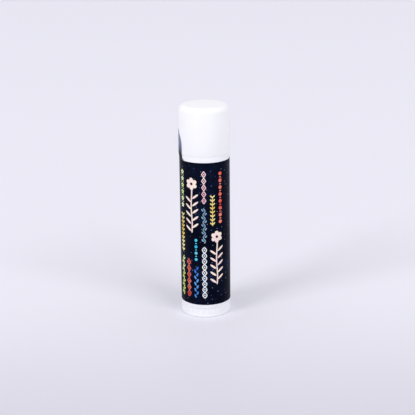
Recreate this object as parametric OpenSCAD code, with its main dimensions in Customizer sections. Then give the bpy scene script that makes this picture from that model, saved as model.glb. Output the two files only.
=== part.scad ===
// Lip balm stick: a capped tube with a turning wheel that winds the balm up.
// The tube stands on its wheel, with the base's centre at the origin and +Z up.

/* [Turning wheel] */
// Height of the wheel that shows below the barrel
wheel_h = 3; // [2.4:0.1:6]
// How far the ridges stand in from the barrel's outside
wheel_inset = 0.04; // [0:0.01:0.3]
// Number of grip ridges round the wheel
ridge_n = 64; // [24:1:72]
// Depth of the grooves between the ridges
ridge_depth = 0.2; // [0.1:0.02:0.28]
// Radius of the round bottom of each groove
groove_r = 0.3; // [0.2:0.02:0.32]
// Height of the plain rim below the ridges
plain_rim_h = 0.6; // [0.5:0.05:1]
// Rounding of the wheel's lower edge
wheel_round = 0.45; // [0.2:0.05:0.5]
// Width of the ring that the tube stands on
foot_w = 1.2; // [0.6:0.1:2]
// Depth of the hollow inside that ring
foot_hollow = 0.5; // [0.2:0.1:0.8]
// Thickness of the wheel's floor
wheel_floor = 1; // [0.6:0.1:1.5]
// Radius of the dimple left by the moulding gate
gate_r = 1; // [0.5:0.1:2]
// Depth of that dimple
gate_depth = 0.25; // [0.1:0.05:0.5]
// Wall of the hub that snaps into the barrel
hub_wall = 1; // [0.6:0.1:1.6]
// Height of the hub's snap bead
bead_h = 0.8; // [0.5:0.1:1.5]
// How far the bead reaches over the barrel's lip
bead_catch = 0.2; // [0.1:0.05:0.25]
// Height of the sloped lead on the bead
bead_lead = 0.45; // [0.2:0.05:0.5]

/* [Screw] */
// Rise of the thread in one turn
lead = 4; // [2.5:0.1:6]
// Radius over the thread's crest
screw_r = 2.2; // [1.8:0.1:2.4]
// Depth of the thread
thread_depth = 0.5; // [0.3:0.05:0.6]
// Half of the crest's width, in degrees of turn
crest_half = 30; // [20:1:40]
// Width of each flank, in degrees of turn
flank = 30; // [20:1:40]
// Radius of the plain collar under the thread
collar_r = 2.7; // [2.5:0.1:3]
// Radius of the plain tip above the thread
tip_r = 1.3; // [0.8:0.1:1.3]
// Height of the plain tip
tip_h = 1; // [0.5:0.1:2]

/* [Barrel] */
// Outside radius of the barrel
barrel_r = 7.92; // [7.2:0.02:9]
// Height of the barrel from its lower edge to its shoulder
barrel_h = 50.7; // [40:0.1:60]
// Wall between the barrel's outside and the bore that the balm slides in
barrel_wall = 1.82; // [1.72:0.02:2.12]
// Wall of the neck that the cap fits over
neck_wall = 0.9; // [0.7:0.05:1]
// Height of the neck above the shoulder
neck_h = 6.2; // [5:0.1:7]
// Small bevel on the barrel's edges
barrel_bevel = 0.05; // [0.03:0.01:0.3]
// How far the lip inside the lower end stands in
lip_d = 0.5; // [0.4:0.05:0.6]
// Height of that lip
lip_h = 1.2; // [0.8:0.1:2]
// Number of guide ribs in the bore
rib_n = 4; // [2:1:6]
// Width of a guide rib
rib_w = 0.9; // [0.6:0.1:1.4]
// Height of a guide rib
rib_d = 0.35; // [0.2:0.05:0.5]
// Distance from the top of the ribs to the neck's rim
rib_stop = 3; // [0.5:0.1:4]

/* [Elevator cup] */
// Thickness of the cup's floor
cup_floor = 1.2; // [0.8:0.1:2]
// Height of the cup
cup_h = 5; // [3.5:0.1:8]
// Wall of the cup
cup_wall = 0.7; // [0.6:0.05:1]
// Outside radius of the nut in the cup
nut_r = 3.5; // [3.2:0.1:4]
// Height of the nut
nut_h = 6; // [4:0.1:10]
// Thickness of the webs that hold the balm
web_t = 0.6; // [0.4:0.1:1]
// Height of the webs above the floor
web_h = 2; // [1:0.1:2.2]

/* [Balm] */
// Depth of the balm's top below the neck's rim
balm_recess = 0.8; // [0.3:0.1:2]
// Rounding of the balm's upper edge
balm_round = 0.7; // [0.2:0.1:1.5]
// Solid balm above the screw's tip
balm_crown = 3.5; // [2:0.1:6]

/* [Cap] */
// Outside height of the cap
cap_h = 15.2; // [14:0.1:20]
// How far the cap's mouth stands proud of the barrel
cap_proud = 0.22; // [0:0.02:0.5]
// How much the radius narrows from the mouth to the top
cap_draft = 0.1; // [0:0.02:0.2]
// Rounding of the cap's upper edge
cap_round = 1.7; // [0.8:0.1:2]
// Thickness of the cap's top
cap_top = 1; // [0.8:0.1:1.6]
// Rounding inside the cap's top
cap_inner_round = 0.8; // [0.3:0.1:1]
// Small bevel at the cap's mouth
cap_bevel = 0.06; // [0.03:0.01:0.25]
// Number of grip ribs inside the cap's mouth
grip_n = 6; // [3:1:12]
// Width of a grip rib
grip_w = 0.8; // [0.4:0.1:1.5]
// Height of the grip ribs along the cap
grip_h = 4; // [2:0.1:5]
// Distance from the mouth to the grip ribs
grip_lift = 1; // [0.4:0.1:1.5]

/* [Label and tamper tab] */
// Thickness of the label film
film_t = 0.08; // [0.05:0.01:0.15]
// Bare barrel below the label
bare_low = 1.27; // [0.4:0.05:3]
// Bare barrel between the label and the shoulder
bare_high = 1.95; // [1:0.05:4]
// Width of the label's overlap at the back
overlap_w = 3; // [1:0.1:6]
// Width of the tamper tab
tab_w = 11; // [10:0.1:13]
// Height of the tamper tab above the label
tab_h = 9.1; // [6:0.1:12]
// Rounding of the tab's upper corners
tab_round = 4.8; // [1:0.1:5]
// Direction of the tab's middle, in degrees from +X
tab_turn = 169; // [0:1:359]
// Cut between the tab and the label
tab_cut = 0.12; // [0.05:0.01:0.3]

/* [Clearances] */
// Gap between the wheel and the barrel's lower edge
wheel_gap = 0.1; // [0.06:0.02:0.5]
// Running clearance of the hub in the barrel's lip
hub_gap = 0.08; // [0.03:0.01:0.1]
// Gap above the lip, under the snap bead
bead_gap = 0.1; // [0.05:0.05:0.3]
// Gap between the hub and the resting elevator
elevator_gap = 0.3; // [0.1:0.05:0.6]
// Sliding clearance of the elevator in the bore
slide_gap = 0.12; // [0.08:0.01:0.2]
// Clearance of the notches round the guide ribs
key_gap = 0.15; // [0.08:0.01:0.25]
// Radial clearance of the thread in the nut
thread_gap = 0.3; // [0.25:0.01:0.35]
// Clearance of the thread's flanks along the screw
flank_gap = 0.2; // [0.15:0.01:0.3]
// Clearance of the balm's bore round the screw
balm_bore_gap = 0.3; // [0.2:0.05:0.5]
// Clearance between the cast balm and the cup
cast_gap = 0.04; // [0.02:0.01:0.1]
// Gap between the cap's mouth and the shoulder
cap_gap = 0.05; // [0.02:0.01:0.2]
// Clearance of the cap's bore round the neck
cap_bore_gap = 0.2; // [0.15:0.01:0.25]
// Clearance of the grip ribs round the neck
grip_gap = 0.07; // [0.03:0.01:0.1]
// Gap between the tamper tab and the cap
tab_gap = 0.03; // [0.01:0.01:0.1]

/* [Hidden] */
$fn = 96;
cut = 0.5;

// Heights, from the base up
barrel_z = wheel_h + wheel_gap;
shoulder_z = barrel_z + barrel_h;
rim_z = shoulder_z + neck_h;
bead_z = barrel_z + lip_h + bead_gap;
hub_z = bead_z + bead_h;
cup_z = hub_z + elevator_gap;
floor_z = cup_z + cup_floor;
nut_z = cup_z + nut_h;
balm_z = rim_z - balm_recess;
balm_bore_z = balm_z - balm_crown;
tip_z = balm_bore_z - elevator_gap;
thread_top = tip_z - tip_h;
mouth_z = shoulder_z + cap_gap;
cap_z = mouth_z + cap_h;
label_low = barrel_z + bare_low;
label_high = shoulder_z - bare_high;

// Radii, from what each piece fits
wheel_r = barrel_r - wheel_inset;
bore_r = barrel_r - barrel_wall;
foot_r = wheel_r - wheel_round - foot_w;
lip_r = bore_r - lip_d;
hub_r = lip_r - hub_gap;
bead_r = lip_r + bead_catch;
neck_r = bore_r + neck_wall;
cup_r = bore_r - slide_gap;
cup_in = cup_r - cup_wall;
notch_r = bore_r - rib_d - key_gap;
core_r = screw_r - thread_depth;
mouth_r = barrel_r + cap_proud;
crown_r = mouth_r - cap_draft;
cap_bore = neck_r + cap_bore_gap;
label_r = barrel_r + film_t;
tab_in = mouth_r + tab_gap;
rib_low = hub_z + elevator_gap / 2;
rib_high = rim_z - rib_stop;
slack = flank_gap / lead * 360;

// Angles round one turn: across the crest, down the flank and round the root
function crest_angles(half, n) = [for (i = [-n:n]) half * i / n];
function root_angles(half, n) =
    [for (i = [0:n]) half + flank + i * (360 - 2 * half - 2 * flank) / n];
function thread_outline(grow, half, crest_n, root_n) = concat(
    [for (a = crest_angles(half, crest_n)) (screw_r + grow) * [cos(a), sin(a)]],
    [for (a = root_angles(half, root_n)) (core_r + grow) * [cos(a), sin(a)]]);

// A left-handed thread from one height to another, in phase with the screw
module thread(from_z, to_z, outline, steps) {
    turns = (to_z - from_z) / lead;
    translate([0, 0, from_z])
        rotate(-360 * (from_z - hub_z) / lead)
            linear_extrude(to_z - from_z, twist = 360 * turns, slices = ceil(steps * turns),
                           segments = len(outline))
                polygon(outline);
}

// Copies of a shape round the axis
module around(n, turn = 0) {
    for (i = [0:n - 1]) rotate(turn + i * 360 / n) children();
}

// Half section of a disc whose upper outer edge is rounded
module rounded_disc(r, h, f) {
    square([r, h - f]);
    square([r - f, h]);
    translate([r - f, h - f]) circle(f);
}

// Half section of the wheel: foot, rim, snap hub and the well inside the hub
module wheel_section() {
    difference() {
        union() {
            translate([0, wheel_h]) mirror([0, 1]) rounded_disc(wheel_r, wheel_h, wheel_round);
            square([hub_r, hub_z]);
            polygon([[0, bead_z], [bead_r, bead_z], [bead_r, hub_z - bead_lead], [hub_r, hub_z], [0, hub_z]]);
        }
        translate([0, -cut]) square([foot_r, foot_hollow + cut]);
        translate([collar_r, foot_hollow + wheel_floor])
            square([hub_r - hub_wall - collar_r, hub_z]);
        square([gate_r, foot_hollow + gate_depth]);
    }
}

module screw_wheel() {
    color("whitesmoke") union() {
        difference() {
            rotate_extrude() wheel_section();
            around(ridge_n)
                translate([wheel_r + groove_r - ridge_depth, 0, plain_rim_h])
                    cylinder(h = wheel_h, r = groove_r, $fn = 16);
        }
        thread(hub_z - cut, thread_top, thread_outline(0, crest_half, 1, 7), 12);
        translate([0, 0, thread_top - cut]) cylinder(h = tip_h + cut, r = tip_r);
    }
}

// Half section of the barrel: lip, bore, shoulder and neck
module barrel_section() {
    b = barrel_bevel;
    polygon([
        [lip_r, barrel_z], [barrel_r - b, barrel_z], [barrel_r, barrel_z + b],
        [barrel_r, shoulder_z - b], [barrel_r - b, shoulder_z], [neck_r, shoulder_z],
        [neck_r, rim_z - b], [neck_r - b, rim_z], [bore_r, rim_z],
        [bore_r, barrel_z + lip_h], [lip_r, barrel_z + lip_h]]);
}

module barrel() {
    color("white") union() {
        rotate_extrude() barrel_section();
        around(rib_n)
            translate([bore_r - rib_d, -rib_w / 2, rib_low])
                cube([rib_d + neck_wall / 2, rib_w, rib_high - rib_low]);
    }
}

// Grooves that clear the guide ribs, over any height
module rib_notches(from_z, to_z) {
    around(rib_n)
        translate([notch_r, -rib_w / 2 - key_gap, from_z])
            cube([bore_r, rib_w + 2 * key_gap, to_z - from_z]);
}

// Webs between the nut and the cup's wall, turned halfway between the notches
module webs(grow) {
    inner = nut_r - cut;
    around(rib_n, 180 / rib_n)
        translate([inner, -web_t / 2 - grow, floor_z - cut])
            cube([cup_in + cup_wall / 2 - inner, web_t + 2 * grow, web_h + cut + grow]);
}

module elevator_cup() {
    color("ivory") difference() {
        union() {
            difference() {
                translate([0, 0, cup_z]) cylinder(h = cup_h, r = cup_r);
                translate([0, 0, floor_z]) cylinder(h = cup_h, r = cup_in);
            }
            translate([0, 0, cup_z]) cylinder(h = nut_h, r = nut_r);
            webs(0);
        }
        rib_notches(cup_z - cut, cup_z + cup_h + cut);
        thread(cup_z - cut, nut_z + cut, thread_outline(thread_gap, crest_half + slack, 3, 12), 24);
    }
}

// Half section of the balm: poured into the cup and round the nut and the screw
module balm_section() {
    bore = screw_r + balm_bore_gap;
    difference() {
        translate([0, floor_z]) rounded_disc(cup_r, balm_z - floor_z, balm_round);
        translate([cup_in - cast_gap, floor_z - cut])
            square([cup_r, cup_z + cup_h + cast_gap - floor_z + cut]);
        translate([0, floor_z - cut]) square([nut_r + cast_gap, nut_z + cast_gap - floor_z + cut]);
        translate([0, floor_z]) square([bore, balm_bore_z - floor_z]);
    }
}

module balm_stick() {
    color("wheat") difference() {
        rotate_extrude() balm_section();
        rib_notches(floor_z - cut, rib_high + key_gap);
        webs(cast_gap);
    }
}

// Half section of the cap, from its mouth up
module cap_section() {
    inside = cap_h - cap_top;
    difference() {
        union() {
            polygon([
                [0, 0], [mouth_r - cap_bevel, 0], [mouth_r, cap_bevel],
                [crown_r, cap_h - cap_round], [0, cap_h - cap_round]]);
            rounded_disc(crown_r, cap_h, cap_round);
        }
        translate([0, -cut]) square([cap_bore, cut + cap_bevel]);
        rounded_disc(cap_bore, inside, cap_inner_round);
    }
}

module cap() {
    color("white") union() {
        translate([0, 0, mouth_z]) rotate_extrude() cap_section();
        around(grip_n)
            translate([neck_r + grip_gap, -grip_w / 2, mouth_z + grip_lift])
                cube([cap_bore_gap, grip_w, grip_h]);
    }
}

// A thin tube of film between two radii
module film(inner, outer, from_z, to_z) {
    translate([0, 0, from_z]) difference() {
        cylinder(h = to_z - from_z, r = outer);
        translate([0, 0, -cut]) cylinder(h = to_z - from_z + 2 * cut, r = inner);
    }
}

// The label runs once round the barrel and laps over itself at the back
module label_wrap() {
    color("midnightblue") union() {
        film(barrel_r, label_r, label_low, label_high);
        intersection() {
            film(label_r - film_t / 2, label_r + film_t, label_low, label_high);
            translate([-overlap_w / 2, 0, label_low])
                cube([overlap_w, 2 * barrel_r, label_high - label_low]);
        }
    }
}

// The tab's outline as it is seen straight on
module tab_outline() {
    w = tab_w / 2;
    translate([-w, 0]) square([tab_w, tab_h - tab_round]);
    translate([-w + tab_round, 0]) square([tab_w - 2 * tab_round, tab_h]);
    for (s = [-1, 1]) translate([s * (w - tab_round), tab_h - tab_round]) circle(tab_round);
}

module tamper_tab() {
    color("slategray") intersection() {
        film(tab_in, tab_in + film_t, label_high, label_high + tab_cut + tab_h + cut);
        translate([0, 0, label_high + tab_cut])
            rotate([90, 0, tab_turn + 90])
                linear_extrude(2 * barrel_r) tab_outline();
    }
}

screw_wheel();
barrel();
elevator_cup();
balm_stick();
cap();
label_wrap();
tamper_tab();
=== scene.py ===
import math
import random

import bmesh
import bpy
from mathutils import Matrix, Vector


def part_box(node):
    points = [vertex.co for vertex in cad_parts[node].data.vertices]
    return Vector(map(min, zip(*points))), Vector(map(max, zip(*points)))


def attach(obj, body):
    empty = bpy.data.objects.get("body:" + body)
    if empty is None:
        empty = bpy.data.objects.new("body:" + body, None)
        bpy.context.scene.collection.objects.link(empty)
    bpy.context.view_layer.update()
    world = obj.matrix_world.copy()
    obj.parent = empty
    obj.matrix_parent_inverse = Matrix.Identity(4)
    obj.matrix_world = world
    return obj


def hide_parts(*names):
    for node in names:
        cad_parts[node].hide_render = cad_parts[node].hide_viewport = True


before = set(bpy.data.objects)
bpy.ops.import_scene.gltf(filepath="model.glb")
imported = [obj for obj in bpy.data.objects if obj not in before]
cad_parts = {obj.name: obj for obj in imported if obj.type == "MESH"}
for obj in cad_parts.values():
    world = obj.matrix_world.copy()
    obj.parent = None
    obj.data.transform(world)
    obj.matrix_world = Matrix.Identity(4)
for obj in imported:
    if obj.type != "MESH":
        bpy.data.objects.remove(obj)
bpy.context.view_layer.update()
mm = 0.001  # sizes below are in millimetres, and the scene is in metres
weldGap = 0.0005  # vertices nearer than this are one
wallGap = 0.05  # a facet's middle may lie this far off its round wall
smallEdge = (0.1, 2)  # rounding and segments of a moulding's small edges
sharpAngle = 32  # edges that turn more than this many degrees show as edges
noiseRange = {"From Min": 0.3, "From Max": 0.7}  # most of a noise texture's values


def linear(hexColour):
    # An sRGB hex colour as the linear colour that shaders use
    channels = [int(hexColour[i:i + 2], 16) / 255 for i in (1, 3, 5)]
    return [c / 12.92 if c <= 0.04045 else ((c + 0.055) / 1.055) ** 2.4 for c in channels] + [1]


def addNode(tree, kind, links=None, values=None, **settings):
    # One node with its settings, its fixed inputs and its links
    node = tree.nodes.new(kind)
    for key, value in settings.items():
        setattr(node, key, value)
    for key, value in (values or {}).items():
        node.inputs[key].default_value = value
    for key, source in (links or {}).items():
        tree.links.new(source, node.inputs[key])
    return node


def newMaterial(name, viewColour):
    material = bpy.data.materials.new(name)
    material.use_nodes = True
    material.node_tree.nodes.clear()
    material.diffuse_color = linear(viewColour)
    return material, material.node_tree


def sizeOf(node):
    # Lowest and highest height of a CAD node and its radius about the axis, in millimetres
    low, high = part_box(node)
    return round(low.z / mm, 3), round(high.z / mm, 3), round((high.x - low.x) / 2 / mm, 2)


def ease(share):
    # From 0 to 1 with a soft start and a soft end
    share = min(1, max(0, share))
    return share * share * (3 - 2 * share)


def offCentre(point, pitch):
    # Angle from the middle of the nearest of the even sectors round the axis
    return (math.atan2(point.y, point.x) + pitch / 2) % pitch - pitch / 2


def only(kind, geom):
    # The vertices or the edges among an operator's results
    return [item for item in geom if isinstance(item, kind)]


def turnHalfSection(outline, sectors, stepsPerSector):
    # A closed body of revolution. Each corner is a radius and a height, and a rounded one has its
    # rounding and segments too. One sector is spun from the outline, and its copies make the turn
    bm = bmesh.new()
    corners = [bm.verts.new((corner[0] * mm, 0, corner[1] * mm)) for corner in outline]
    for first, second in zip(corners, corners[1:] + corners[:1]):
        if first.co.x > 0 or second.co.x > 0:
            bm.edges.new((first, second))
    for vert, corner in zip(corners, outline):
        if len(corner) > 2:
            bmesh.ops.bevel(bm, geom=[vert], offset=corner[2] * mm, offset_type="OFFSET", affect="VERTICES",
                            segments=corner[3], profile=0.5, material=-1)
    bmesh.ops.spin(bm, geom=bm.verts[:] + bm.edges[:], cent=(0, 0, 0), axis=(0, 0, 1),
                   angle=2 * math.pi / sectors, steps=stepsPerSector)
    bmesh.ops.spin(bm, geom=bm.verts[:] + bm.edges[:] + bm.faces[:], cent=(0, 0, 0), axis=(0, 0, 1),
                   angle=2 * math.pi, steps=sectors, use_duplicate=True, use_merge=True)
    bmesh.ops.remove_doubles(bm, verts=bm.verts, dist=weldGap * mm)
    bmesh.ops.recalc_face_normals(bm, faces=bm.faces)
    return bm


def pushPatches(bm, radius, low, high, width, count, depth):
    # Moves patches of a round wall towards the axis: ribs in a bore, or channels along a rod
    patches = []
    for face in bm.faces:
        centre = face.calc_center_median() / mm
        onWall = abs(centre.xy.length - radius) < wallGap and low < centre.z < high
        if onWall and abs(offCentre(centre, 2 * math.pi / count)) * radius < width / 2:
            patches.append(face)
    moved = bmesh.ops.extrude_face_region(bm, geom=patches)["geom"]
    bmesh.ops.delete(bm, geom=patches, context="FACES")
    for vert in only(bmesh.types.BMVert, moved):
        vert.co.xy *= 1 - depth * mm / vert.co.xy.length


def addPiece(name, bm, material, body, replaced=()):
    mesh = bpy.data.meshes.new(name)
    bm.to_mesh(mesh)
    bm.free()
    mesh.materials.append(material)
    mesh.shade_smooth()
    mesh.set_sharp_from_angle(angle=math.radians(sharpAngle))
    piece = bpy.data.objects.new(name, mesh)
    bpy.context.scene.collection.objects.link(piece)
    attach(piece, body)
    if replaced:
        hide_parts(*replaced)
    return piece


# Camera, at the photograph's viewing angle
camera = {
    "distance": 375.52, "height": 149.78,  # from the tube's axis and above the floor
    "pitch": 17.005, "pan": 0.121, "roll": -0.62,
    "lens": 105.53, "sensor": 36, "clipStart": 10,
}
pitch, pan, roll = (math.radians(camera[key]) for key in ("pitch", "pan", "roll"))
forward = Vector((math.sin(pan) * math.cos(pitch), math.cos(pan) * math.cos(pitch), -math.sin(pitch)))
level = Vector((math.cos(pan), -math.sin(pan), 0))
upright = level.cross(forward)
rightwards = level * math.cos(roll) + upright * math.sin(roll)
upwards = upright * math.cos(roll) - level * math.sin(roll)
cameraData = bpy.data.cameras.new("camera")
cameraData.lens = camera["lens"]
cameraData.sensor_width = camera["sensor"]
cameraData.clip_start = camera["clipStart"] * mm
cameraObject = bpy.data.objects.new("camera", cameraData)
bpy.context.scene.collection.objects.link(cameraObject)
cameraObject.matrix_world = (Matrix.Translation(Vector((0, -camera["distance"], camera["height"])) * mm)
                             @ Matrix((rightwards, upwards, -forward)).transposed().to_4x4())
bpy.context.scene.camera = cameraObject
bpy.context.scene.view_settings.view_transform = "Standard"

# Soft boxes at both sides, a weak one in front, a pale room and studio paper
studio = {
    "lampDistance": 8.0, "lampTall": 2.4,  # in metres
    # Azimuth, elevation, width in metres and share of the floor's light
    "lamps": {"leftLamp": (-140, 30.5, 3.1, 0.178), "rightLamp": (-51, 38, 4.2, 0.183),
              "frontLamp": (-75, 22, 4.2, 0.006)},
    "roomShare": 0.673, "roomTint": "#fbfbff", "backdrop": "#ebeaf3",
    "floorSize": 6.0,  # in metres
    "floorDrop": 0.01,  # keeps the paper off the foot
    # The near paper colour carries painted shade: the paper darkens towards the viewer where the lamps'
    # light falls off
    "floorFar": "#edecf5", "floorNearShaded": "#d6d5df", "floorRoughness": 0.55, "floorSpecular": 0.2,
    "nearEdge": -110, "farEdge": 20,  # the paper's tone changes between these, along Y
}
for name, (azimuth, elevation, width, share) in studio["lamps"].items():
    turn, rise = math.radians(azimuth), math.radians(elevation)
    aim = Vector((math.cos(turn) * math.cos(rise), math.sin(turn) * math.cos(rise), math.sin(rise)))
    lamp = bpy.data.lights.new(name, "AREA")
    lamp.shape = "RECTANGLE"
    lamp.size = width
    lamp.size_y = studio["lampTall"]
    # This power lights a level white floor at the origin to that share of white
    lamp.energy = math.pi ** 2 * share * studio["lampDistance"] ** 2 / math.sin(rise)
    lampObject = bpy.data.objects.new(name, lamp)
    bpy.context.scene.collection.objects.link(lampObject)
    lampObject.matrix_world = (Matrix.Translation(aim * studio["lampDistance"])
                               @ aim.to_track_quat("Z", "Y").to_matrix().to_4x4())

world = bpy.data.worlds.new("studio")
bpy.context.scene.world = world
world.use_nodes = True
tree = world.node_tree
tree.nodes.clear()
rays = addNode(tree, "ShaderNodeLightPath")
seen = addNode(tree, "ShaderNodeMath",
               {0: rays.outputs["Is Camera Ray"], 1: rays.outputs["Is Glossy Ray"]}, operation="MAXIMUM")
seen = addNode(tree, "ShaderNodeMath", {0: seen.outputs[0], 1: rays.outputs["Is Transmission Ray"]},
               operation="MAXIMUM")
ambient = addNode(tree, "ShaderNodeBackground",
                  values={"Color": linear(studio["roomTint"]), "Strength": studio["roomShare"]})
backdrop = addNode(tree, "ShaderNodeBackground",
                   values={"Color": linear(studio["backdrop"]), "Strength": 1})
shown = addNode(tree, "ShaderNodeMixShader",
                {0: seen.outputs[0], 1: ambient.outputs[0], 2: backdrop.outputs[0]})
addNode(tree, "ShaderNodeOutputWorld", {"Surface": shown.outputs[0]})

bm = bmesh.new()
bmesh.ops.create_grid(bm, x_segments=1, y_segments=1, size=studio["floorSize"] / 2)
bmesh.ops.translate(bm, verts=bm.verts, vec=(0, 0, -studio["floorDrop"] * mm))
floorMesh = bpy.data.meshes.new("floor")
bm.to_mesh(floorMesh)
bm.free()
floor = bpy.data.objects.new("floor", floorMesh)
bpy.context.scene.collection.objects.link(floor)
# Studio paper: matt and even. Its colour darkens towards the viewer, painted shade for the light that falls
# off there. Inputs 6 and 7 of a colour mix are its two colours
paper, tree = newMaterial("studioPaper", studio["floorFar"])
coords = addNode(tree, "ShaderNodeTexCoord")
axes = addNode(tree, "ShaderNodeSeparateXYZ", {0: coords.outputs["Object"]})
fade = addNode(tree, "ShaderNodeMapRange", {"Value": axes.outputs["Y"]},
               {"From Min": studio["nearEdge"] * mm, "From Max": studio["farEdge"] * mm},
               interpolation_type="SMOOTHSTEP")
# Painted shade: the paper's colour darkens towards the viewer
tone = addNode(tree, "ShaderNodeMix", {"Factor": fade.outputs[0]},
               {6: linear(studio["floorNearShaded"]), 7: linear(studio["floorFar"])}, data_type="RGBA")
shader = addNode(tree, "ShaderNodeBsdfPrincipled", {"Base Color": tone.outputs[2]},
                 {"Roughness": studio["floorRoughness"], "Specular IOR Level": studio["floorSpecular"]})
addNode(tree, "ShaderNodeOutputMaterial", {"Surface": shader.outputs[0]})
floor.data.materials.append(paper)
print("camera, floor and light are set")


# Injection-moulded polypropylene: a milky white body with a soft sheen. Flow clouding shows as
# slightly uneven gloss, and the tool's fine skin breaks up the highlights
plastic = {
    "cloudSize": 9,
    "skinSize": 0.35, "skinDepth": 0.004,  # drawn some four times coarser than the real skin, to show
    "specular": 0.35, "scatterShare": 0.2, "scatterDepth": 0.5,
}


def mouldedPolypropylene(name, look):
    material, tree = newMaterial(name, look["colour"])
    coords = addNode(tree, "ShaderNodeTexCoord")
    cloud = addNode(tree, "ShaderNodeTexNoise", {"Vector": coords.outputs["Object"]},
                    {"Scale": 1 / (plastic["cloudSize"] * mm), "Detail": 3})
    tone = addNode(tree, "ShaderNodeMix", {"Factor": cloud.outputs["Fac"]},
                   {6: linear(look["shade"]), 7: linear(look["colour"])}, data_type="RGBA")
    gloss = addNode(tree, "ShaderNodeMapRange", {"Value": cloud.outputs["Fac"]},
                    {**noiseRange, "To Min": look["smoothest"], "To Max": look["roughest"]})
    skin = addNode(tree, "ShaderNodeTexNoise", {"Vector": coords.outputs["Object"]},
                   {"Scale": 1 / (plastic["skinSize"] * mm), "Detail": 2})
    bump = addNode(tree, "ShaderNodeBump", {"Height": skin.outputs["Fac"]},
                   {"Strength": 0.35, "Distance": plastic["skinDepth"] * mm})
    shader = addNode(tree, "ShaderNodeBsdfPrincipled",
                     {"Base Color": tone.outputs[2], "Roughness": gloss.outputs[0],
                      "Normal": bump.outputs[0]},
                     {"IOR": 1.49, "Specular IOR Level": plastic["specular"],
                      "Subsurface Weight": plastic["scatterShare"], "Subsurface Radius": (1, 0.97, 0.93),
                      "Subsurface Scale": plastic["scatterDepth"] * mm})
    addNode(tree, "ShaderNodeOutputMaterial", {"Surface": shader.outputs[0]})
    return material


# Cap
capLow, capHigh, capRadius = sizeOf("cap")
cap = {
    "crownRadius": 8.04, "edgeRound": 1.7, "mouthRadius": 8.08, "mouthBevel": 0.015,
    "mouthDrop": 0.04,  # how much lower the mouth shows than its solid
    "bore": 7.2, "ceiling": 68.05, "ceilingRound": 0.8,
    "gripLow": 1, "gripHigh": 5, "gripWidth": 0.8, "gripCount": 6, "gripDepth": 0.13,
    "sectors": 6, "steps": 20,
    "colour": "#f8f8fa", "shade": "#f5f5f8", "smoothest": 0.44, "roughest": 0.54,
}
capMouth = capLow - cap["mouthDrop"]
capPlastic = mouldedPolypropylene("capPolypropylene", cap)
bm = turnHalfSection([
    (0, capHigh), (cap["crownRadius"], capHigh, cap["edgeRound"], 12),
    (cap["mouthRadius"], capMouth, cap["mouthBevel"], 2), (cap["bore"], capMouth, *smallEdge),
    (cap["bore"], capLow + cap["gripLow"]), (cap["bore"], capLow + cap["gripHigh"]),
    (cap["bore"], cap["ceiling"], cap["ceilingRound"], 6), (0, cap["ceiling"])],
    cap["sectors"], cap["steps"])
pushPatches(bm, cap["bore"], capLow + cap["gripLow"], capLow + cap["gripHigh"],
            cap["gripWidth"], cap["gripCount"], cap["gripDepth"])
addPiece("cap_shell", bm, capPlastic, "cap", ["cap"])
print("cap is made")

# Barrel, with its neck, its lower lip and the guide ribs in its bore
barrelLow, barrelHigh, barrelRadius = sizeOf("barrel")
barrel = {
    "proud": 0.05, "lowDrop": 0.06,  # how much wider and lower the tube shows than its solid
    "shoulder": 53.8, "neckRadius": 7.0, "bore": 6.1, "edge": 0.025, "rimRound": 0.2,
    "lipRadius": 5.6, "lipTop": 4.3,
    "ribLow": 5.35, "ribHigh": 57, "ribWidth": 0.9, "ribCount": 4, "ribDepth": 0.35,
    "sectors": 4, "steps": 43,  # four steps are a rib's width
    "colour": "#efeff4", "shade": "#ebebf0", "smoothest": 0.3, "roughest": 0.4,
}
barrelRadius += barrel["proud"]
barrelLow -= barrel["lowDrop"]
barrelPlastic = mouldedPolypropylene("barrelPolypropylene", barrel)
bm = turnHalfSection([
    (barrel["lipRadius"], barrelLow, *smallEdge), (barrelRadius, barrelLow, barrel["edge"], 2),
    (barrelRadius, barrel["shoulder"], barrel["edge"], 2), (barrel["neckRadius"], barrel["shoulder"]),
    (barrel["neckRadius"], barrelHigh, barrel["rimRound"], 4), (barrel["bore"], barrelHigh, *smallEdge),
    (barrel["bore"], barrel["ribHigh"]), (barrel["bore"], barrel["ribLow"]),
    (barrel["bore"], barrel["lipTop"]), (barrel["lipRadius"], barrel["lipTop"])],
    barrel["sectors"], barrel["steps"])
pushPatches(bm, barrel["bore"], barrel["ribLow"], barrel["ribHigh"],
            barrel["ribWidth"], barrel["ribCount"], barrel["ribDepth"])
addPiece("barrel_tube", bm, barrelPlastic, "barrel", ["barrel"])
print("barrel is made")

# Turning wheel: foot ring, ridged rim, snap hub and the left-handed screw in one moulding
wheelLow, screwTip, wheelRadius = sizeOf("screw_wheel")
wheelRadius += barrel["proud"]
wheel = {
    "top": 3, "topRound": 0.08, "edgeRound": 0.32, "footRadius": 6.23,
    "hollow": 0.5, "hollowRound": 0.15, "gateRadius": 1, "gateDepth": 0.25, "gateRound": 0.06,
    "hubRadius": 5.52, "hubTop": 5.2, "beadLow": 4.4, "beadTop": 4.75, "beadRadius": 5.8, "beadRound": 0.06,
    "wellRadius": 4.52, "wellFloor": 1.5, "wellRound": 0.3, "collarRadius": 2.7, "rootRadius": 2.45,
    "ridges": 64, "stepsPerRidge": 8, "ridgeDepth": 0.2,
    "ridgeSkin": 0.12,  # the grooves shape what lies this near the rim's surface
    "grooveRadius": 0.3, "grooveLow": 0.6, "grooveFade": 0.25,
    "lead": 4, "crestRadius": 2.2, "coreRadius": 1.7,
    "crestHalf": 30, "flank": 30,  # degrees of a turn
    "threadLow": 5.5, "threadTop": 54.4, "threadSides": 36, "threadSteps": 24,  # steps in a turn
    "runOut": 0.15, "tipRadius": 1.3, "tipBevel": 0.3,
    "colour": "#ededf1", "shade": "#e9e9ed", "smoothest": 0.34, "roughest": 0.44,
}
gateTop = wheel["hollow"] + wheel["gateDepth"]
wheelPlastic = mouldedPolypropylene("wheelPolypropylene", wheel)
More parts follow.
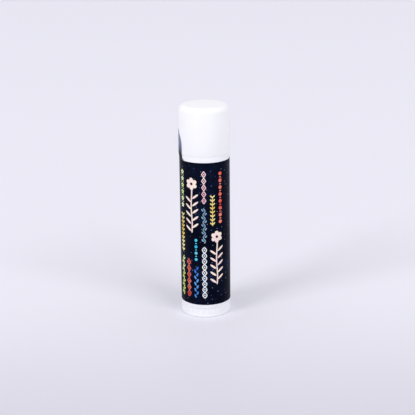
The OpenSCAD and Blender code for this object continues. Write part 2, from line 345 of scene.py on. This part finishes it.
bm = turnHalfSection([
    (0, gateTop), (wheel["gateRadius"], gateTop, *smallEdge),
    (wheel["gateRadius"], wheel["hollow"], wheel["gateRound"], 2),
    (wheel["footRadius"], wheel["hollow"], wheel["hollowRound"], 3),
    (wheel["footRadius"], wheelLow, *smallEdge), (wheelRadius, wheelLow, wheel["edgeRound"], 6),
    *[(wheelRadius, wheel["grooveLow"] + wheel["grooveFade"] * i / 3) for i in range(4)],
    (wheelRadius, wheel["top"], wheel["topRound"], 2),
    (wheel["hubRadius"], wheel["top"]), (wheel["hubRadius"], wheel["beadLow"]),
    (wheel["beadRadius"], wheel["beadLow"], wheel["beadRound"], 2),
    (wheel["beadRadius"], wheel["beadTop"], *smallEdge),
    (wheel["hubRadius"], wheel["hubTop"]), (wheel["wellRadius"], wheel["hubTop"]),
    (wheel["wellRadius"], wheel["wellFloor"], wheel["wellRound"], 3),
    (wheel["collarRadius"], wheel["wellFloor"], wheel["wellRound"], 3),
    (wheel["collarRadius"], wheel["hubTop"], *smallEdge), (wheel["rootRadius"], wheel["hubTop"]),
    (0, wheel["hubTop"])],
    wheel["ridges"], wheel["stepsPerRidge"])
# The ridges: round-bottomed grooves that run out above the plain rim
ridgePitch = 2 * math.pi / wheel["ridges"]
for vert in bm.verts:
    reach, height = vert.co.xy.length / mm, vert.co.z / mm
    if reach < wheelRadius - wheel["ridgeSkin"] or height < wheel["grooveLow"]:
        continue
    side = min(abs(offCentre(vert.co, ridgePitch)) * reach, wheel["grooveRadius"])
    groove = math.sqrt(wheel["grooveRadius"] ** 2 - side ** 2) - wheel["grooveRadius"] + wheel["ridgeDepth"]
    fade = min(1, (height - wheel["grooveLow"]) / wheel["grooveFade"])
    vert.co.xy *= 1 - max(0, groove) * fade * (2 - fade) / reach


def threadRadius(angle):
    # Radius at this many degrees from the middle of the crest, with softened flanks
    fall = ease((abs(angle) - wheel["crestHalf"]) / wheel["flank"])
    return wheel["crestRadius"] - (wheel["crestRadius"] - wheel["coreRadius"]) * fall


# The thread: its outline is turned and raised at once, then narrows to the plain tip
thread = bmesh.new()
bmesh.ops.create_circle(thread, cap_ends=False, segments=wheel["threadSides"], radius=mm,
                        matrix=Matrix.Translation((0, 0, wheel["threadLow"] * mm)))
firstCrest = -360 * (wheel["threadLow"] - wheel["hubTop"]) / wheel["lead"]
for vert in thread.verts:
    angle = math.degrees(math.atan2(vert.co.y, vert.co.x)) - firstCrest
    vert.co.xy *= threadRadius((angle + 180) % 360 - 180)
threadHeight = wheel["threadTop"] - wheel["threadLow"]
threadSteps = round(threadHeight / wheel["lead"] * wheel["threadSteps"])
ends = bmesh.ops.spin(thread, geom=thread.verts[:] + thread.edges[:], cent=(0, 0, 0), axis=(0, 0, 1),
                      dvec=(0, 0, threadHeight / threadSteps * mm), steps=threadSteps,
                      angle=-2 * math.pi * threadHeight / wheel["lead"])["geom_last"]
for radius, height in ((wheel["tipRadius"], wheel["threadTop"] + wheel["runOut"]),
                       (wheel["tipRadius"], screwTip - wheel["tipBevel"]),
                       (wheel["tipRadius"] - wheel["tipBevel"], screwTip)):
    ends = bmesh.ops.extrude_edge_only(thread, edges=only(bmesh.types.BMEdge, ends))["geom"]
    for vert in only(bmesh.types.BMVert, ends):
        vert.co.xy *= radius * mm / vert.co.xy.length
        vert.co.z = height * mm
bmesh.ops.holes_fill(thread, edges=only(bmesh.types.BMEdge, ends), sides=0)
threadMesh = bpy.data.meshes.new("thread")
thread.to_mesh(threadMesh)
thread.free()

# The hub's top opens round the thread's root, and the two are joined into one moulding
centreFaces = []
for face in bm.faces:
    centre = face.calc_center_median() / mm
    if abs(centre.z - wheel["hubTop"]) < weldGap and centre.xy.length < wheel["rootRadius"]:
        centreFaces.append(face)
bmesh.ops.delete(bm, geom=centreFaces, context="FACES")
bm.from_mesh(threadMesh)
bpy.data.meshes.remove(threadMesh)
bmesh.ops.bridge_loops(bm, edges=[edge for edge in bm.edges if edge.is_boundary])
bmesh.ops.recalc_face_normals(bm, faces=bm.faces)
addPiece("turning_wheel", bm, wheelPlastic, "wheel", ["screw_wheel"])
print("turning wheel is made")

# Beeswax and oil blend: pale yellow and cloudy, light goes a little way in, and the poured
# surface keeps tiny pits and soft swirls
balm = {
    "bore": 2.5, "boreTop": 55.7, "boreRound": 0.5,
    "nutHole": 3.54, "nutTop": 11.54, "cupHole": 5.24, "cupTop": 10.54,
    "channelTop": 57.15, "channelWidth": 1.2, "channelCount": 4, "channelDepth": 0.38,
    "edgeRound": 0.7, "dishRadius": 3.6, "dishDepth": 0.12,
    "sectors": 4, "steps": 30,
    "colour": "#f4e8c4", "shade": "#eddcae", "swirlSize": 5, "smoothest": 0.36, "roughest": 0.5,
    "pitSize": 0.5, "pitDepth": 0.02, "scatterDepth": 0.5,
}
wax, tree = newMaterial("beeswaxBlend", balm["colour"])
coords = addNode(tree, "ShaderNodeTexCoord")
swirl = addNode(tree, "ShaderNodeTexNoise", {"Vector": coords.outputs["Object"]},
                {"Scale": 1 / (balm["swirlSize"] * mm), "Detail": 4, "Distortion": 1.5})
tone = addNode(tree, "ShaderNodeMix", {"Factor": swirl.outputs["Fac"]},
               {6: linear(balm["shade"]), 7: linear(balm["colour"])}, data_type="RGBA")
pits = addNode(tree, "ShaderNodeTexNoise", {"Vector": coords.outputs["Object"]},
               {"Scale": 1 / (balm["pitSize"] * mm), "Detail": 3})
bump = addNode(tree, "ShaderNodeBump", {"Height": pits.outputs["Fac"]},
               {"Strength": 0.4, "Distance": balm["pitDepth"] * mm})
gloss = addNode(tree, "ShaderNodeMapRange", {"Value": swirl.outputs["Fac"]},
                {**noiseRange, "To Min": balm["smoothest"], "To Max": balm["roughest"]})
shader = addNode(tree, "ShaderNodeBsdfPrincipled",
                 {"Base Color": tone.outputs[2], "Roughness": gloss.outputs[0], "Normal": bump.outputs[0]},
                 {"IOR": 1.44, "Subsurface Weight": 0.35, "Subsurface Radius": (1, 0.85, 0.6),
                  "Subsurface Scale": balm["scatterDepth"] * mm})
addNode(tree, "ShaderNodeOutputMaterial", {"Surface": shader.outputs[0]})

balmLow, balmHigh, balmRadius = sizeOf("balm_stick")
bm = turnHalfSection([
    (0, balm["boreTop"]), (balm["bore"], balm["boreTop"], balm["boreRound"], 4),
    (balm["bore"], balm["nutTop"]), (balm["nutHole"], balm["nutTop"]), (balm["nutHole"], balmLow),
    (balm["cupHole"], balmLow), (balm["cupHole"], balm["cupTop"]), (balmRadius, balm["cupTop"]),
    (balmRadius, balm["channelTop"]), (balmRadius, balmHigh, balm["edgeRound"], 8),
    # The poured top sinks a little in the middle
    (balm["dishRadius"], balmHigh), (balm["dishRadius"] * 0.5, balmHigh - balm["dishDepth"] * 0.7),
    (0, balmHigh - balm["dishDepth"])],
    balm["sectors"], balm["steps"])
pushPatches(bm, balmRadius, balm["cupTop"], balm["channelTop"],
            balm["channelWidth"], balm["channelCount"], balm["channelDepth"])
addPiece("balm_bullet", bm, wax, "elevator", ["balm_stick"])
print("balm is made")

# Natural polypropylene of the elevator cup, unpigmented: satin and a little grey
cup = {"colour": "#ecece6", "shade": "#e4e4dd", "smoothest": 0.4, "roughest": 0.5}
cupPlastic = mouldedPolypropylene("naturalPolypropylene", cup)
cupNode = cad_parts["elevator_cup"]
cupNode.data.materials.clear()
cupNode.data.materials.append(cupPlastic)


# Printed film under a gloss laminate: midnight blue with faint clouds and pinprick stars.
# Up the tamper tab the colour turns a pale blue grey, a painted sheen for the light the lifted tab
# catches. The laminate gives a tight pale sheen at the sides and almost none at the front
film = {
    "thickness": 0.08, "bend": 0.2,
    "seamTurn": 90, "lap": 3, "lapGap": 0.01, "step": 0.35,  # the lap climbs over the film's edge in a step
    "night": "#020516", "cloud": "#060c1f", "glow": "#0f1a36", "cloudSize": 11,
    "nightEnd": 0.42, "cloudMiddle": 0.6, "glowStart": 0.78,  # values of the cloud noise
    "star": "#9fb2dd", "starShare": 0.55, "starCell": 1.7, "starRadius": 0.11,
    "starCore": 0.5, "starEdge": 1.3,  # shares of the radius between which a star fades
    # The tab's painted sheen: its colour, the heights between which it comes in, and its thinnest share
    "tabSheen": "#7c84a1", "tabSheenStart": 53, "tabSheenEnd": 57.5, "tabSheenThinnest": 0.78,
    "smoothest": 0.32, "roughest": 0.4, "specular": 0.03, "waveSize": 4, "waveDepth": 0.006,
}


def laminate(tree, colour):
    # The gloss of the laminate over a printed colour
    coords = addNode(tree, "ShaderNodeTexCoord")
    wave = addNode(tree, "ShaderNodeTexNoise", {"Vector": coords.outputs["Object"]},
                   {"Scale": 1 / (film["waveSize"] * mm), "Detail": 2})
    gloss = addNode(tree, "ShaderNodeMapRange", {"Value": wave.outputs["Fac"]},
                    {**noiseRange, "To Min": film["smoothest"], "To Max": film["roughest"]})
    bump = addNode(tree, "ShaderNodeBump", {"Height": wave.outputs["Fac"]},
                   {"Strength": 0.5, "Distance": film["waveDepth"] * mm})
    shader = addNode(tree, "ShaderNodeBsdfPrincipled",
                     {"Base Color": colour, "Roughness": gloss.outputs[0], "Normal": bump.outputs[0]},
                     {"IOR": 1.49, "Specular IOR Level": film["specular"]})
    addNode(tree, "ShaderNodeOutputMaterial", {"Surface": shader.outputs[0]})


nightFilm, tree = newMaterial("printedNightFilm", film["night"])
flat = addNode(tree, "ShaderNodeUVMap", uv_map="film")
cloud = addNode(tree, "ShaderNodeTexNoise", {"Vector": flat.outputs[0]},
                {"Scale": 1 / (film["cloudSize"] * mm), "Detail": 5, "Roughness": 0.6},
                noise_dimensions="2D")
sky = addNode(tree, "ShaderNodeValToRGB", {"Fac": cloud.outputs["Fac"]})
dark, light = sky.color_ramp.elements
dark.position = film["nightEnd"]
dark.color = linear(film["night"])
light.position = film["glowStart"]
light.color = linear(film["glow"])
sky.color_ramp.elements.new(film["cloudMiddle"]).color = linear(film["cloud"])
cells = addNode(tree, "ShaderNodeTexVoronoi", {"Vector": flat.outputs[0]},
                {"Scale": 1 / (film["starCell"] * mm)}, voronoi_dimensions="2D")
chance = addNode(tree, "ShaderNodeSeparateColor", {0: cells.outputs["Color"]})
disc = addNode(tree, "ShaderNodeMapRange", {"Value": cells.outputs["Distance"]},
               {"From Min": film["starRadius"] / film["starCell"] * film["starCore"],
                "From Max": film["starRadius"] / film["starCell"] * film["starEdge"],
                "To Min": 1, "To Max": 0})
bright = addNode(tree, "ShaderNodeMapRange", {"Value": chance.outputs[0]},
                 {"From Min": 1 - film["starShare"], "From Max": 1, "To Min": 0, "To Max": 1})
star = addNode(tree, "ShaderNodeMath", {0: disc.outputs[0], 1: bright.outputs[0]}, operation="MULTIPLY")
printed = addNode(tree, "ShaderNodeMix", {"Factor": star.outputs[0], 6: sky.outputs[0]},
                  {7: linear(film["star"])}, data_type="RGBA")
coords = addNode(tree, "ShaderNodeTexCoord")
axes = addNode(tree, "ShaderNodeSeparateXYZ", {0: coords.outputs["Object"]})
# Painted sheen: the film's colour turns pale up the tamper tab, a little unevenly with the clouds
tabSheen = addNode(tree, "ShaderNodeMapRange", {"Value": axes.outputs["Z"]},
               {"From Min": film["tabSheenStart"] * mm, "From Max": film["tabSheenEnd"] * mm},
               interpolation_type="SMOOTHSTEP")
drift = addNode(tree, "ShaderNodeMapRange", {"Value": cloud.outputs["Fac"]},
                {**noiseRange, "To Min": 1, "To Max": film["tabSheenThinnest"]})
tabSheen = addNode(tree, "ShaderNodeMath", {0: tabSheen.outputs[0], 1: drift.outputs[0]}, operation="MULTIPLY")
printed = addNode(tree, "ShaderNodeMix", {"Factor": tabSheen.outputs[0], 6: printed.outputs[2]},
                  {7: linear(film["tabSheen"])}, data_type="RGBA")
laminate(tree, printed.outputs[2])


def flatSheet(bm):
    # The film's place before it is wrapped, for its print
    layer = bm.loops.layers.uv.verify()
    for face in bm.faces:
        for loop in face.loops:
            loop[layer].uv = loop.vert.co.xy * mm


def wrapSheet(bm, turn, radiusAt, thickness):
    # Bends a flat sheet, along X and up Y in millimetres, round the tube and gives it its thickness
    outer = bmesh.ops.extrude_face_region(bm, geom=bm.faces[:])["geom"]
    for vert in only(bmesh.types.BMVert, outer):
        vert.co.z += thickness
    bmesh.ops.recalc_face_normals(bm, faces=bm.faces)
    for vert in bm.verts:
        x, y, lift = vert.co
        radius = radiusAt(x, y) + lift
        angle = math.radians(turn) + x / barrelRadius
        vert.co = Vector((radius * math.cos(angle), radius * math.sin(angle), y)) * mm


def cutSheet(bm, axis, first, last, pitch):
    # Cuts a flat sheet across, so that it bends smoothly
    for i in range(math.floor((last - first) / pitch) + 1):
        place = Vector((0, 0, 0))
        place[axis] = first + i * pitch
        bmesh.ops.bisect_plane(bm, geom=bm.verts[:] + bm.edges[:] + bm.faces[:], dist=1e-5,
                               plane_co=place, plane_no=Vector((1 - axis, axis, 0)))


# Label, once round the barrel and over itself at the back
labelLow, labelHigh, _ = sizeOf("label_wrap")
girth = 2 * math.pi * barrelRadius


def labelRadius(x, y):
    climb = ease((x - girth + film["step"]) / film["step"])
    return barrelRadius + (film["thickness"] + film["lapGap"]) * climb


bm = bmesh.new()
bmesh.ops.create_grid(bm, x_segments=1, y_segments=1, size=0.5)
for vert in bm.verts:
    along = (vert.co.x + 0.5) * (girth + film["lap"])
    vert.co = Vector((along, labelLow if vert.co.y < 0 else labelHigh, 0))
cutSheet(bm, 0, film["bend"], girth + film["lap"] - film["bend"] / 2, film["bend"])
flatSheet(bm)
labelTurn = film["seamTurn"] - math.degrees(film["lap"] / 2 / barrelRadius)
wrapSheet(bm, labelTurn, labelRadius, film["thickness"])
label = addPiece("label_film", bm, nightFilm, "barrel", ["label_wrap"])
label.data.uv_layers[0].name = "film"
print("label is made")

# Print of the label: upright garlands of leaves, beads and blossoms in coloured inks, all round
ink = {
    "depth": 0.012, "sink": 0.01,  # how far the ink stands out of the film and reaches into it
    "layer": 0.002, "bend": 0.4, "line": 0.3, "fadeSize": 6,
    "columns": 17, "bareColumns": (4, 11, 12), "marginLow": 2.4, "marginHigh": 2.6, "gap": 1.4,
    "shortest": 9.5, "longest": 19, "narrowest": 1.5, "widest": 1.95,
    "startRoom": 0.7, "endRoom": 0.6,  # free room that is worth a garland, in shortest garlands
    "choices": 3,  # how many of the colours and kinds used longest ago are drawn from
    "sprigHeight": 18.5, "sprigWidth": 5.2, "sprigLine": 0.42,
    # First column and height above the label's margin of each large sprig
    "sprigs": [(6, 22), (9, 4.5), (0, 13), (13, 20)],
    "colours": {
        "gold": ("#e6c95f", "#f2e6a0"), "white": ("#f1f1ee", "#dfe6ee"),
        "coral": ("#e04a3c", "#ee8672"), "paleGreen": ("#bfe08c", "#e4f0c4"),
        "royalBlue": ("#2a66c4", "#5f9be0"), "cyan": ("#22b2d6", "#86dcec"),
        "lime": ("#d4e860", "#eef6ae"), "pink": ("#f0b8c4", "#f8e2e2"),
        "slateBlue": ("#6488a6", "#9bb8cc"),
    },
    "cream": ("#f4e6d2", "#f3d9d6"),
    "seed": 12,
}


def spot(bm, x, y, length, width, turn=90, sides=8, layer=0):
    # A rounded or pointed spot of ink: a bead, a petal or a leaf
    place = (Matrix.Translation((x, y, layer * ink["layer"])) @ Matrix.Rotation(math.radians(turn), 4, "Z")
             @ Matrix.Diagonal((length / 2, width / 2, 1, 1)))
    bmesh.ops.create_circle(bm, cap_ends=True, segments=sides, radius=1, matrix=place)


def stroke(bm, points, width, layer=1):
    # A line of ink through these points
    last = None
    for i, point in enumerate(points):
        along = Vector(points[min(i + 1, len(points) - 1)]) - Vector(points[max(i - 1, 0)])
        side = Vector((along.y, -along.x)).normalized() * width / 2
        pair = [bm.verts.new((point[0] + way * side.x, point[1] + way * side.y, layer * ink["layer"]))
                for way in (-1, 1)]
        if last:
            bm.faces.new((last[0], last[1], pair[1], pair[0]))
        last = pair


def flower(bm, x, y, size, petals, turn=90, layer=0):
    for i in range(petals):
        angle = turn + i * 360 / petals
        reach = size * 0.29
        spot(bm, x + reach * math.cos(math.radians(angle)), y + reach * math.sin(math.radians(angle)),
             size * 0.4, size * 0.34, angle + 18, 10, layer + i % 3)


# The garlands start at the origin and go up Y. Bare numbers in them are shares of the width or the
# length, or degrees
def vine(bm, length, width):
    bow = width * 0.75
    steps = round(length / ink["line"])
    stroke(bm, [(0.2 * width * math.sin(math.pi * i * length / steps / bow), i * length / steps)
                for i in range(steps + 1)], ink["line"])
    for i in range(int(length / bow)):
        way = 1 if i % 2 else -1
        spot(bm, way * width * 0.3, (i + 0.72) * bow, width * 0.62, width * 0.3, 90 - way * 38)


def beads(bm, length, width):
    count = int(length / (width * 1.2))
    for i in range(count):
        spot(bm, 0, (i + 0.5) * length / count, width * 0.66, width * 0.66, sides=12)
        if i:
            spot(bm, 0, i * length / count, width * 0.32, width * 0.5, sides=4, layer=1)


def laurel(bm, length, width):
    count = int(length / (width * 0.7))
    stroke(bm, [(0, 0), (0, length - width * 0.3)], ink["line"] * 0.8)
    for i in range(count):
        for way in (-1, 1):
            spot(bm, way * width * 0.27, (i + 0.6) * length / count, width * 0.58, width * 0.27,
                 90 - way * 42)


def blossoms(bm, length, width):
    count = int(length / (width * 1.3))
    for i in range(count):
        flower(bm, 0, (i + 0.5) * length / count, width, 5)
        if i:
            for way in (-1, 1):
                spot(bm, way * width * 0.32, i * length / count, width * 0.22, width * 0.22, sides=6)


def ears(bm, length, width):
    count = int(length / (width * 0.62))
    for i in range(count):
        way = 1 if i % 2 else -1
        spot(bm, way * width * 0.22, (i + 0.5) * length / count, width * 0.82, width * 0.36, 90 - way * 24)


def twist(bm, length, width):
    count = int(length / width)
    bends = 6
    steps = count * bends
    for way in (-1, 1):
        stroke(bm, [(way * 0.38 * width * math.sin(math.pi * i / bends), i * length / steps)
                    for i in range(steps + 1)], ink["line"], layer=1 + way)
    for i in range(count):
        spot(bm, 0, (i + 0.5) * length / count, width * 0.34, width * 0.26, sides=8, layer=1)


def lozenges(bm, length, width):
    count = int(length / (width * 1.15))
    for i in range(count):
        low, middle, high = [(i + share) * length / count for share in (0.04, 0.5, 0.96)]
        for way in (-1, 1):
            stroke(bm, [(0, low), (way * width * 0.4, middle), (0, high)], ink["line"], layer=1 + way)
        spot(bm, 0, middle, width * 0.34, width * 0.26, sides=8, layer=1)


def sprig(bm, length, width):
    # A large sprig: a bent stem, leaves in pairs and a blossom at its top
    stroke(bm, [(0.03 * width * math.sin(i / 2), i * length * 0.8 / 16) for i in range(17)],
           ink["sprigLine"])
    for i in range(5):
        for way in (-1, 1):
            spot(bm, way * width * 0.24, length * (0.1 + 0.13 * i + 0.03 * way), width * 0.5, width * 0.13,
                 90 - way * 52, 12)
    flower(bm, 0, length * 0.87, width * 0.8, 6, layer=2)


def addStrand(name, kind, x, low, length, width):
    # Draws a strand upright, cuts it so that it can bend, and adds it to its colour
    bm = bmesh.new()
    kind(bm, length, width)
    cutSheet(bm, 0, -math.floor(width / 2 / ink["bend"]) * ink["bend"], width / 2, ink["bend"])
    bmesh.ops.translate(bm, verts=bm.verts, vec=(x, low, 0))
    mesh = bpy.data.meshes.new("strand")
    bm.to_mesh(mesh)
    bm.free()
    prints[name].from_mesh(mesh)
    bpy.data.meshes.remove(mesh)


def printRadius(x, y):
    return labelRadius(x, y) + film["thickness"] - ink["sink"]


prints = {name: bmesh.new() for name in [*ink["colours"], "cream"]}
column = (girth - film["step"] * 2 - film["lap"]) / ink["columns"]
printLow, printHigh = labelLow + ink["marginLow"], labelHigh - ink["marginHigh"]
kinds = [vine, beads, laurel, blossoms, ears, twist, lozenges]
names = list(ink["colours"])
rng = random.Random(ink["seed"])
rng.shuffle(kinds)
rng.shuffle(names)
beside = []  # colours of the column before this one
for i in range(ink["columns"]):
    if i in ink["bareColumns"]:
        continue
    # Free stretches of this column, above and below a large sprig
    stretches = [(printLow, printHigh)]
    for first, lift in ink["sprigs"]:
        if i in (first, first + 1):
            stretches = [(printLow, printLow + lift - ink["gap"]),
                         (printLow + lift + ink["sprigHeight"] + ink["gap"], printHigh)]
    used = []
    for low, high in stretches:
        while high - low > ink["shortest"] * ink["startRoom"]:
            length = min(high - low, rng.uniform(ink["shortest"], ink["longest"]))
            if high - low - length < ink["shortest"] * ink["endRoom"]:
                length = high - low
            name = rng.choice([name for name in names if name not in beside + used][:ink["choices"]])
            kind = rng.choice(kinds[:ink["choices"]])
            addStrand(name, kind, film["lap"] + column * (i + 0.5), low, length,
                      rng.uniform(ink["narrowest"], ink["widest"]))
            for row, item in ((names, name), (kinds, kind)):  # the latest goes to the end of its row
                row.append(row.pop(row.index(item)))
            used.append(name)
            low += length + ink["gap"]
    beside = used
for first, lift in ink["sprigs"]:
    addStrand("cream", sprig, film["lap"] + column * (first + 1), printLow + lift,
              ink["sprigHeight"], ink["sprigWidth"])
for name, (colour, pale) in {**ink["colours"], "cream": ink["cream"]}.items():
    # Ink under the laminate, fading a little from one tone to another
    printInk, tree = newMaterial(name + "Ink", colour)
    coords = addNode(tree, "ShaderNodeTexCoord")
    cloud = addNode(tree, "ShaderNodeTexNoise", {"Vector": coords.outputs["Object"]},
                    {"Scale": 1 / (ink["fadeSize"] * mm), "Detail": 2})
    fade = addNode(tree, "ShaderNodeMapRange", {"Value": cloud.outputs["Fac"]},
                   {"From Min": 0.38, "From Max": 0.62})
    tone = addNode(tree, "ShaderNodeMix", {"Factor": fade.outputs[0]},
                   {6: linear(colour), 7: linear(pale)}, data_type="RGBA")
    laminate(tree, tone.outputs[2])
    wrapSheet(prints[name], labelTurn, printRadius, ink["sink"] + ink["depth"])
    addPiece("print_" + name, prints[name], printInk, "barrel")
print("label's print is made")

# Tamper tab: the film's tongue over the cap, joined to the label by small ties until it is torn
tab = {
    "width": 11, "height": 9.1, "turn": 168, "cornerRound": 4.8,
    "flare": 0.9, "flareRound": 0.855, "flareLip": 0.15, "cut": 0.12, "tie": 0.25, "tieCount": 12,
    "capGap": 0.02, "climb": 2.2,
    # Cuts for bending: the first, the last and the pitch, in from the foot's ends and up the climb
    "bends": (0.3, 0.1, 0.4), "climbBends": (0.4, 3, 0.3),
}


def tabRadius(x, y):
    # Lies on the barrel at its foot, climbs the cap's mouth and follows the cap's wall
    draft = (y - capLow) / (capHigh - capLow - cap["edgeRound"])
    onCap = capRadius + (cap["crownRadius"] - capRadius) * max(0, draft) + tab["capGap"]
    return barrelRadius + (onCap - barrelRadius) * ease((y - labelHigh) / tab["climb"])


side, foot, lip = tab["width"] / 2, tab["width"] / 2 + tab["flare"], tab["cut"] + tab["flareLip"]
edge = [(-foot, tab["cut"]), (-foot, lip), (-side, lip), (-side, tab["height"]),
        (side, tab["height"]), (side, lip), (foot, lip), (foot, tab["cut"])]
for i in range(tab["tieCount"]):
    middle = foot - (i + 0.5) * 2 * foot / tab["tieCount"]
    for way, y in ((1, tab["cut"]), (1, 0), (-1, 0), (-1, tab["cut"])):
        edge.append((middle + way * tab["tie"] / 2, y))
bm = bmesh.new()
corners = [bm.verts.new((x, labelHigh + y, 0)) for x, y in edge]
bm.faces.new(corners[::-1])
for pair, rounding, segments in ((corners[3:5], tab["cornerRound"], 10),
                                 ([corners[2], corners[5]], tab["flareRound"], 5)):
    bmesh.ops.bevel(bm, geom=pair, offset=rounding, offset_type="OFFSET", affect="VERTICES",
                    segments=segments, profile=0.5, material=-1)
first, last, apart = tab["bends"]
cutSheet(bm, 0, -foot + first, foot - last, apart)
first, last, apart = tab["climbBends"]
cutSheet(bm, 1, labelHigh + first, labelHigh + last, apart)
flatSheet(bm)
wrapSheet(bm, tab["turn"], tabRadius, film["thickness"])
tongue = addPiece("tab_tongue", bm, nightFilm, "cap", ["tamper_tab"])
tongue.data.uv_layers[0].name = "film"
print("tamper tab is made")
